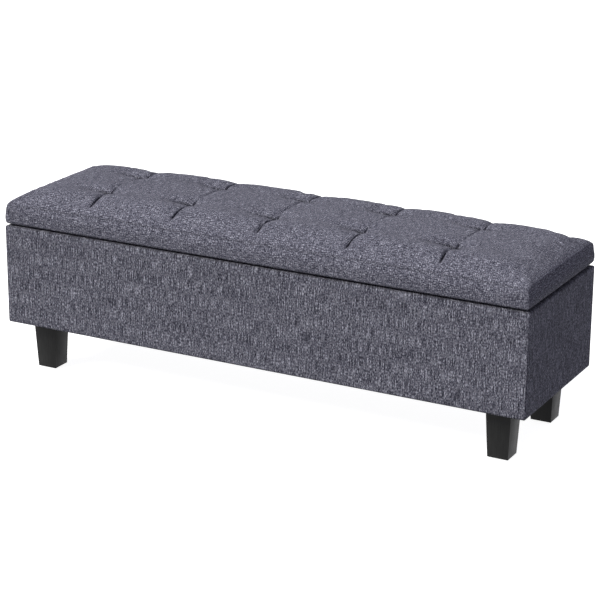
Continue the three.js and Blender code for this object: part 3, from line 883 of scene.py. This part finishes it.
def leaning(x, z):
    """Moves the ends in towards the top and the foot, so that the end panels bow out."""
    climb = smooth(LID_BOTTOM + FOOT, FOAM_EDGE, z)
    tuck = 1 - smooth(LID_BOTTOM, LID_BOTTOM + 20 * MM, z)
    near_end = np.exp(-(HALF_X - np.abs(x)) / (22 * MM))
    return x - np.sign(x) * (LEAN * climb + TUCK * tuck) * near_end


def edge_row(number, in_by, z, side):
    """One row of the rolled front (side -1) or back (side 1) edge, with its painted shade."""
    under = z.max() < LID_BOTTOM + FOOT
    squeeze = (HALF_X - in_by.max()) / HALF_X if under else 1.0
    shade = np.zeros_like(z)
    if number < UNDER_ROWS:
        shade += UNDER_SHADE
    elif side < 0 and number == SIDE_ROWS - 1:
        shade += LINE_SHADE
    return leaning(X_STATIONS, z) * squeeze, side * (HALF_Y - in_by), z, shade


def top_panel():
    """The rows of the panel that runs from under the front edge over the pad to the back."""
    x = X_STATIONS
    edge = list(enumerate(side_rows(x)))
    start = edge[-1][1][0]
    shares = half_stations(HALF_Y, ROWS)[1:-1] / HALF_Y
    shares = shares[np.abs(shares) < 0.985]
    rows = [edge_row(number, in_by, z, -1) for number, (in_by, z) in edge]
    for share in shares:
        y = (HALF_Y - start) * share
        z, shut_and_painted_shade = pad_height(x, y)
        moved = settled_at(x, y)
        rows.append((leaning(x, z) + moved[:, 0], y + moved[:, 1], z + moved[:, 2], shut_and_painted_shade))
    rows += [edge_row(number, in_by, z, 1) for number, (in_by, z) in reversed(edge)]
    return np.array([np.stack(row, axis=1) for row in rows])


PANEL_ROWS = top_panel()
PAINTED_FOLD_SHADE, PANEL = PANEL_ROWS[..., 3], PANEL_ROWS[..., :3]
print("top panel:", PANEL.shape, "highest", round(PANEL[..., 2].max(), 4))


# %% [markdown]
# Each end panel is built between the edges of the top panel, so that they share the seam.
# It bulges a little, leans in at the top and rounds under at the foot like the sides.


# %% The pad as one piece
END_BULGE = 4.5 * MM


def end_panel(side):
    edge = PANEL[:, -1 if side > 0 else 0, :]
    rows, across = SIDE_ROWS, len(edge) - 2 * (SIDE_ROWS - 1)
    top = edge[SIDE_ROWS - 1 : SIDE_ROWS - 1 + across]
    share = (top[:, 1] - top[0, 1]) / (top[-1, 1] - top[0, 1])
    straight = top[0, 2] + (top[-1, 2] - top[0, 2]) * share
    grid = np.zeros((rows, across, 3))
    for r in range(rows):
        near, far = edge[r], edge[-1 - r]
        height = (near[2] - LID_BOTTOM) / (top[0, 2] - LID_BOTTOM)
        climb = smooth(0.2, 1, np.array(height))
        grid[r, :, 0] = near[0]
        grid[r, :, 1] = near[1] + (far[1] - near[1]) * share
        grid[r, :, 2] = near[2] + (top[:, 2] - straight) * climb
        up = math.sin(math.pi * min(1, max(0, height)))
        grid[r, :, 0] += side * END_BULGE * up * np.sin(math.pi * share) ** 0.5
    grid[-1] = top
    return grid


def panel_uv(grid, shift):
    """Flat cloth coordinates of a grid: its own run lengths along rows and columns."""
    along = np.linalg.norm(np.diff(grid, axis=1), axis=2).mean(axis=0)
    up = np.linalg.norm(np.diff(grid, axis=0), axis=2).mean(axis=1)
    u = np.concatenate([[0], np.cumsum(along)]) + shift
    v = np.concatenate([[0], np.cumsum(up)]) + shift
    cells = [(r, c) for r in range(len(v) - 1) for c in range(len(u) - 1)]
    return [(u[c + i], v[r + j]) for r, c in cells for i, j in ((0, 0), (1, 0), (1, 1), (0, 1))]


def lid_pad():
    points, faces, uv = [], [], []
    for k, grid in enumerate((PANEL, end_panel(1), end_panel(-1)[:, ::-1])):
        faces += grid_faces(grid.shape[0], grid.shape[1], start=len(points))
        points += grid.reshape(-1, 3).tolist()
        uv += panel_uv(grid, 0.61 * (k + 1))
    # The top panel's painted shade fills the fold attribute; the end panels get none.
    painted_shade = np.zeros(len(points))
    painted_shade[: PAINTED_FOLD_SHADE.size] = PAINTED_FOLD_SHADE.ravel()
    pad = new_object("lid_pad", points, faces, uv, painted_shade)
    weld(pad)
    wall = pad.modifiers.new("cloth and batting", "SOLIDIFY")
    wall.thickness, wall.offset = 2.2 * MM, -1
    apply_modifiers(pad)
    soften(pad, 46)
    return finish_piece(pad, LID_FABRIC, "lid", "fabric", "lid_cover")


lid_pad()

# %% [markdown]
# ## What is inside the lid
# The foam follows the fabric a few millimetres below it, so its top repeats the hollows
# that the twine pulls. The twine runs from each tuft down to its disc in the board.


# %% Foam and twine
def foam_block():
    low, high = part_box("lid_foam")
    gap = 5 * MM
    x = np.linspace(low.x + gap, high.x - gap, 180)
    y = np.linspace(low.y + gap, high.y - gap, 64)
    grid_x, grid_y = np.meshgrid(x, y)
    inner = np.minimum(high.x - np.abs(grid_x), high.y - np.abs(grid_y))
    shoulder = 16 * MM * (1 - swell(inner - gap, 24 * MM))
    top = pad_height(grid_x, grid_y)[0] - gap - shoulder
    upper = np.stack([grid_x, grid_y, top], axis=2)
    lower = np.stack([grid_x, grid_y, np.full_like(top, low.z)], axis=2)
    rows, columns = top.shape
    points = np.concatenate([upper.reshape(-1, 3), lower.reshape(-1, 3)])
    under = rows * columns
    faces = grid_faces(rows, columns)
    faces += [tuple(i + under for i in face[::-1]) for face in grid_faces(rows, columns)]
    border = list(range(columns))
    border += [r * columns + columns - 1 for r in range(1, rows)]
    border += [(rows - 1) * columns + c for c in range(columns - 2, -1, -1)]
    border += [r * columns for r in range(rows - 2, 0, -1)]
    for a, b in zip(border, border[1:] + border[:1]):
        faces.append((a, a + under, b + under, b))
    foam = new_object("lid_foam_block", points, faces)
    soften(foam, 50)
    return finish_piece(foam, FOAM, "lid", "foam", "lid_foam")


foam_block()
for node in sorted(n for n in NODES if n.startswith("tuft_twine")):
    bevelled(node, 0.25 * MM, THREAD, "twine", segments=1)

# %% [markdown]
# ## Linings
# Thin black cloth hides the raw panels: a box-shaped lining in the storage room, a panel
# on the underside of the lid, and a dust cover under the bottom. Each is a sheet held by
# staples along its edges, so it lies nearly flat and only puckers between the staples.


# %% Thin cloth sheets
CLOTH = 0.9 * MM


def pucker(u, v, size):
    """Small waves that run in from a stapled edge and fade in the middle of a sheet."""
    edge = min(u, 1 - u, v, 1 - v)
    along = u if min(v, 1 - v) < min(u, 1 - u) else v
    fade = max(0.0, 1 - edge / 0.12) * min(1.0, edge / 0.01)
    wide = noise.noise(Vector((u * 5, v * 3, 2))) * min(1.0, edge / 0.05)
    return size * (0.5 * fade * math.sin(along * 71) + 0.8 * wide)


def flat_sheet(name, low, high, level, size, sag):
    """A cloth rectangle at one height, with puckered edges and a sagging middle."""
    columns, rows = 121, 41
    points = []
    for r in range(rows):
        for c in range(columns):
            u, v = c / (columns - 1), r / (rows - 1)
            drop = sag * (16 * u * (1 - u) * v * (1 - v)) ** 0.7
            x, y = low.x + (high.x - low.x) * u, low.y + (high.y - low.y) * v
            points.append((x, y, level + pucker(u, v, size) - drop))
    sheet = new_object(name, points, grid_faces(rows, columns))
    wall = sheet.modifiers.new("cloth", "SOLIDIFY")
    wall.thickness, wall.offset = CLOTH, 0
    apply_modifiers(sheet)
    soften(sheet, 60)
    return sheet


def stapled_sheet(node, body, lift, waves, sag):
    """The cloth of one thin solid, lifted a little from its underside."""
    low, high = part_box(node)
    sheet = flat_sheet(f"{node}_cloth", low, high, low.z + lift, waves, sag)
    finish_piece(sheet, LINING, body, "lining_cloth", node)


def storage_lining():
    """Rings from the top edge down the walls, round the bottom corner and over the floor."""
    low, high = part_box("storage_lining")
    half_x, half_y, depth = high.x - CLOTH, high.y - CLOTH, high.z - low.z
    across, deep = 110, 30
    walls, round_in = 22, 6 * MM
    profile = [(0.0, high.z - depth * k / walls * 0.96) for k in range(walls + 1)]
    floor = low.z + CLOTH
    for turn in (0.3, 0.7, 1.1, math.pi / 2):
        profile.append((round_in * (1 - math.cos(turn)), floor + round_in * (1 - math.sin(turn))))
    profile += [(round_in + (half_y - round_in) * k / 14 * 0.999, floor) for k in range(1, 15)]
    points = []
    for inwards, z in profile:
        a, b = half_x - inwards, half_y - inwards
        ring = [(-a + 2 * a * k / across, -b) for k in range(across)]
        ring += [(a, -b + 2 * b * k / deep) for k in range(deep)]
        ring += [(a - 2 * a * k / across, b) for k in range(across)]
        ring += [(-a, b - 2 * b * k / deep) for k in range(deep)]
        for x, y in ring:
            wave = noise.noise(Vector((x * 11, y * 11, z * 13)))
            crinkle = noise.noise(Vector((x * 37, y * 37, z * 9 + 4)))
            push = 1.6 * MM * abs(wave) + 0.7 * MM * abs(crinkle)
            if inwards >= round_in / 2:
                points.append((x, y, z + push * 0.8))
                continue
            held = push * float(smooth(0, 12 * MM, np.array(high.z - z)))
            on_end, on_side = abs(x) >= a - 1e-6, abs(y) >= b - 1e-6
            x -= math.copysign(held, x) * on_end
            y -= math.copysign(held, y) * on_side
            points.append((x, y, z))
    columns = 2 * (across + deep)
    faces = [f[::-1] for f in grid_faces(len(profile), columns, closed=True)]
    lining = new_object("storage_lining_cloth", points, faces)
    weld(lining)
    wall = lining.modifiers.new("cloth", "SOLIDIFY")
    wall.thickness, wall.offset = 0.8 * MM, -1
    apply_modifiers(lining)
    soften(lining, 60)
    finish_piece(lining, LINING, "box", "lining_cloth", "storage_lining")


stapled_sheet("dust_cover", "box", 0.4 * MM, 0.5 * MM, 3 * MM)
stapled_sheet("lid_lining", "lid", 0.3 * MM, 0.45 * MM, 1.2 * MM)
storage_lining()

# %% [markdown]
# ## Screws and staples
# Small fasteners repeat, so Geometry Nodes make them. A tree takes a few guide points or
# guide lines, puts one screw head or one staple on each, and ends in real mesh. Screws sit
# in the holes of the hinges and brackets. Staples hold the linings and the folded cover.


# %% A small geometry tree builder
class Recipe:
    """A Geometry Nodes tree with named inputs, applied to one guide object."""

    def __init__(self, name, **sizes):
        self.tree = bpy.data.node_groups.new(name, "GeometryNodeTree")
        face = self.tree.interface
        face.new_socket(name="Geometry", in_out="INPUT", socket_type="NodeSocketGeometry")
        face.new_socket(name="Geometry", in_out="OUTPUT", socket_type="NodeSocketGeometry")
        self.sizes = sizes
        for size in sizes:
            face.new_socket(name=size, in_out="INPUT", socket_type="NodeSocketFloat")
        self.start = self.tree.nodes.new("NodeGroupInput")
        self.end = self.tree.nodes.new("NodeGroupOutput")

    def node(self, kind, settings, sockets):
        """Adds one node and returns its first output."""
        made = self.tree.nodes.new(kind)
        for name, value in settings.items():
            setattr(made, name, value)
        for key, value in sockets.items():
            if isinstance(value, bpy.types.NodeSocket):
                self.tree.links.new(value, made.inputs[key])
            else:
                made.inputs[key].default_value = value
        return made.outputs[0]

    def size(self, name):
        return self.start.outputs[name]

    def times(self, name, factor):
        """A named input multiplied by a plain number."""
        sockets = {0: self.size(name), 1: factor}
        return self.node("ShaderNodeMath", {"operation": "MULTIPLY"}, sockets)

    def finish(self, geometry, material):
        real = self.node("GeometryNodeRealizeInstances", {}, {0: geometry})
        made = self.node("GeometryNodeSetMaterial", {}, {0: real, "Material": material})
        self.tree.links.new(made, self.end.inputs[0])

    def apply(self, guide):
        modifier = guide.modifiers.new(self.tree.name, "NODES")
        modifier.node_group = self.tree
        for item in self.tree.interface.items_tree:
            if item.in_out == "INPUT" and item.name in self.sizes:
                modifier[item.identifier] = self.sizes[item.name]
        return apply_modifiers(guide)


HEAD_STEPS = ((0.6, 1.0), (0.4, 0.82), (0.0, 0.45), (-0.7, 0.9))  # (rise, then scale)


def screw_recipe(radius, height):
    """A round head with a chamfered rim and a round driver recess, on every guide point."""
    make = Recipe("screw_heads", Radius=radius, Height=height)
    sockets = {"Vertices": 16, "Radius": make.size("Radius")}
    part = make.node("GeometryNodeMeshCircle", {"fill_type": "NGON"}, sockets)
    top = True
    for rise, scale in HEAD_STEPS:
        sockets = {"Mesh": part, "Selection": top, "Offset Scale": make.times("Height", rise)}
        step = make.node("GeometryNodeExtrudeMesh", {}, sockets).node
        top = step.outputs["Top"]
        sockets = {0: step.outputs["Mesh"], "Selection": top, "Scale": scale}
        part = make.node("GeometryNodeScaleElements", {"domain": "FACE"}, sockets)
    settings = {"data_type": "FLOAT_VECTOR"}
    axis = make.node("GeometryNodeInputNamedAttribute", settings, {"Name": "axis"})
    turn = make.node("FunctionNodeAlignRotationToVector", {"axis": "Z"}, {"Vector": axis})
    points = make.node("GeometryNodeMeshToPoints", {}, {0: make.start.outputs[0]})
    sockets = {"Points": points, "Instance": part, "Rotation": turn}
    make.finish(make.node("GeometryNodeInstanceOnPoints", {}, sockets), STEEL)
    return make


def screws(name, body, places, radius=3.3 * MM, height=0.6 * MM):
    """places is a list of (point on the plate's face, direction that the head points)."""
    guide = new_object(name, [p for p, _ in places], [])
    axes = guide.data.attributes.new("axis", "FLOAT_VECTOR", "POINT")
    axes.data.foreach_set("vector", [c for _, axis in places for c in axis])
    piece = screw_recipe(radius, height).apply(guide)
    soften(piece, 30)
    finish_piece(piece, STEEL, body, "zinc_steel")


def staple_recipe(pitch, crown, wire):
    """A staple's crown every pitch along the guide lines, set along the line."""
    make = Recipe("staples", Pitch=pitch, Crown=crown, Wire=wire)
    line = make.node("GeometryNodeMeshToCurve", {}, {0: make.start.outputs[0]})
    sockets = {"Curve": line, "Length": make.size("Pitch")}
    points = make.node("GeometryNodeCurveToPoints", {"mode": "LENGTH"}, sockets).node.outputs
    start = make.node("ShaderNodeCombineXYZ", {}, {"X": make.times("Crown", -0.5)})
    end = make.node("ShaderNodeCombineXYZ", {}, {"X": make.times("Crown", 0.5)})
    bar = make.node("GeometryNodeCurvePrimitiveLine", {}, {"Start": start, "End": end})
    sockets = {"Resolution": 6, "Radius": make.size("Wire")}
    ring = make.node("GeometryNodeCurvePrimitiveCircle", {}, sockets)
    sockets = {0: bar, 1: ring, "Fill Caps": True}
    wire_mesh = make.node("GeometryNodeCurveToMesh", {}, sockets)
    sockets = {"Vector": points["Tangent"]}
    turn = make.node("FunctionNodeAlignRotationToVector", {"axis": "X"}, sockets)
    sockets = {"Points": points["Points"], "Instance": wire_mesh, "Rotation": turn}
    make.finish(make.node("GeometryNodeInstanceOnPoints", {}, sockets), STEEL)
    return make


def staples(name, body, loops):
    points, edges = [], []
    for loop in loops:
        start = len(points)
        points += loop
        edges += [(start + i, start + (i + 1) % len(loop)) for i in range(len(loop))]
    guide = new_object(name, points, [], edges=edges)
    piece = staple_recipe(pitch=55 * MM, crown=10 * MM, wire=0.45 * MM).apply(guide)
    finish_piece(piece, STEEL, body, "zinc_steel")


def rectangle(node, inset, level):
    low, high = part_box(node)
    a, b = high.x - inset, high.y - inset
    return [(-a, -b, level), (a, -b, level), (a, b, level), (-a, b, level)]


# %% Place the fasteners
HINGE_HOLES = (-24 * MM, 0, 24 * MM)
BOX_HOLES, LID_HOLES = (-15 * MM, 15 * MM), (-14 * MM, 14 * MM)
LEAF, PLATE, FLANGE = 1 * MM, 2 * MM, 1.7 * MM  # how thick the steel is


def hinge_screws():
    body_places, lid_places = [], []
    leaf_top, leaf_under = BOX_TOP + LEAF, LID_BOTTOM - LEAF
    for side in ("left", "right"):
        low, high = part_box(f"hinge_body_leaf_{side}")
        middle, row = (low.x + high.x) / 2, low.y + 5.5 * MM
        for shift in HINGE_HOLES:
            body_places.append(((middle + shift, row, leaf_top), (0, 0, 1)))
            lid_places.append(((middle + shift, row, leaf_under), (0, 0, -1)))
    screws("hinge_screws_box", "box", body_places)
    screws("hinge_screws_lid", "lid", lid_places)


def stay_screws():
    body_places, lid_places = [], []
    for side, sign in (("left", -1), ("right", 1)):
        low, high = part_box(f"stay_body_bracket_{side}")
        plate_face = max(abs(low.x), abs(high.x)) - PLATE
        middle_y, middle_z = (low.y + high.y) / 2, (low.z + high.z) / 2
        for shift in BOX_HOLES:
            place = (sign * plate_face, middle_y, middle_z + shift)
            body_places.append((place, (-sign, 0, 0)))
        low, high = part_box(f"stay_lid_bracket_{side}")
        over = sign * (min(abs(low.x), abs(high.x)) + 8 * MM)
        middle_y = (low.y + high.y) / 2
        for shift in LID_HOLES:
            lid_places.append(((over, middle_y + shift, high.z - FLANGE), (0, 0, -1)))
    screws("stay_screws_box", "box", body_places, 3.6 * MM, 1.4 * MM)
    screws("stay_screws_lid", "lid", lid_places, 3.6 * MM, 1.2 * MM)


hinge_screws()
stay_screws()
staples("staples_under_box", "box", [rectangle("dust_cover", 7 * MM, BOX_BOTTOM + 0.7 * MM)])
staples(
    "staples_in_lid",
    "lid",
    [
        rectangle("lid_lining", 6 * MM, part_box("lid_lining")[0].z - 0.5 * MM),
        rectangle("lid_cover", UNDER - 7 * MM, LID_BOTTOM - 0.35 * MM),
    ],
)

# %% [markdown]
# ## Studio
# A large pale floor, an even white surround and one very soft sun from the front left
# give the clear difference between the lit front, the bright top and the shaded end.


# %% Floor and light
def pale_floor():
    bpy.ops.mesh.primitive_plane_add(size=300)
    floor = bpy.context.object
    floor.name = "floor"
    ground = Finish("pale_floor", 0.9, Emission_Color=(1, 1, 1, 1), Emission_Strength=0.93)
    speck = ground.noise(ground.place(), scale=3, detail=2).spread(0, 1, 0.86, 0.9)
    floor.data.materials.append(ground.put(Base_Color=(0.6, 0.6, 0.6, 1), Roughness=speck))
    floor.visible_diffuse = False


def sky(world):
    """An even white surround that is dimmer below the horizon, as over a grey floor."""
    nodes, links = world.node_tree.nodes, world.node_tree.links
    place = nodes.new("ShaderNodeTexCoord")
    split = nodes.new("ShaderNodeSeparateXYZ")
    level = nodes.new("ShaderNodeMapRange")
    links.new(place.outputs["Generated"], split.inputs[0])
    links.new(split.outputs["Z"], level.inputs["Value"])
    level.inputs["From Min"].default_value, level.inputs["From Max"].default_value = -0.3, 0.3
    level.inputs["To Min"].default_value, level.inputs["To Max"].default_value = 0.085, 0.33
    surround = nodes["Background"]
    surround.inputs["Color"].default_value = (0.95, 0.95, 1.17, 1)
    links.new(level.outputs["Result"], surround.inputs["Strength"])


def studio_light():
    world = bpy.data.worlds.new("studio")
    bpy.context.scene.world = world
    world.use_nodes = True
    sky(world)
    lamp = bpy.data.lights.new("key", "SUN")
    lamp.energy, lamp.angle = 3.6, math.radians(26)
    lamp.color = (1, 0.995, 0.955)
    key = bpy.data.objects.new("key", lamp)
    towards = Vector((0.38, 0.50, -0.60))
    key.rotation_mode = "QUATERNION"
    key.rotation_quaternion = towards.to_track_quat("-Z", "Y")
    bpy.context.scene.collection.objects.link(key)
    bpy.context.scene.view_settings.view_transform = "Standard"


pale_floor()
studio_light()
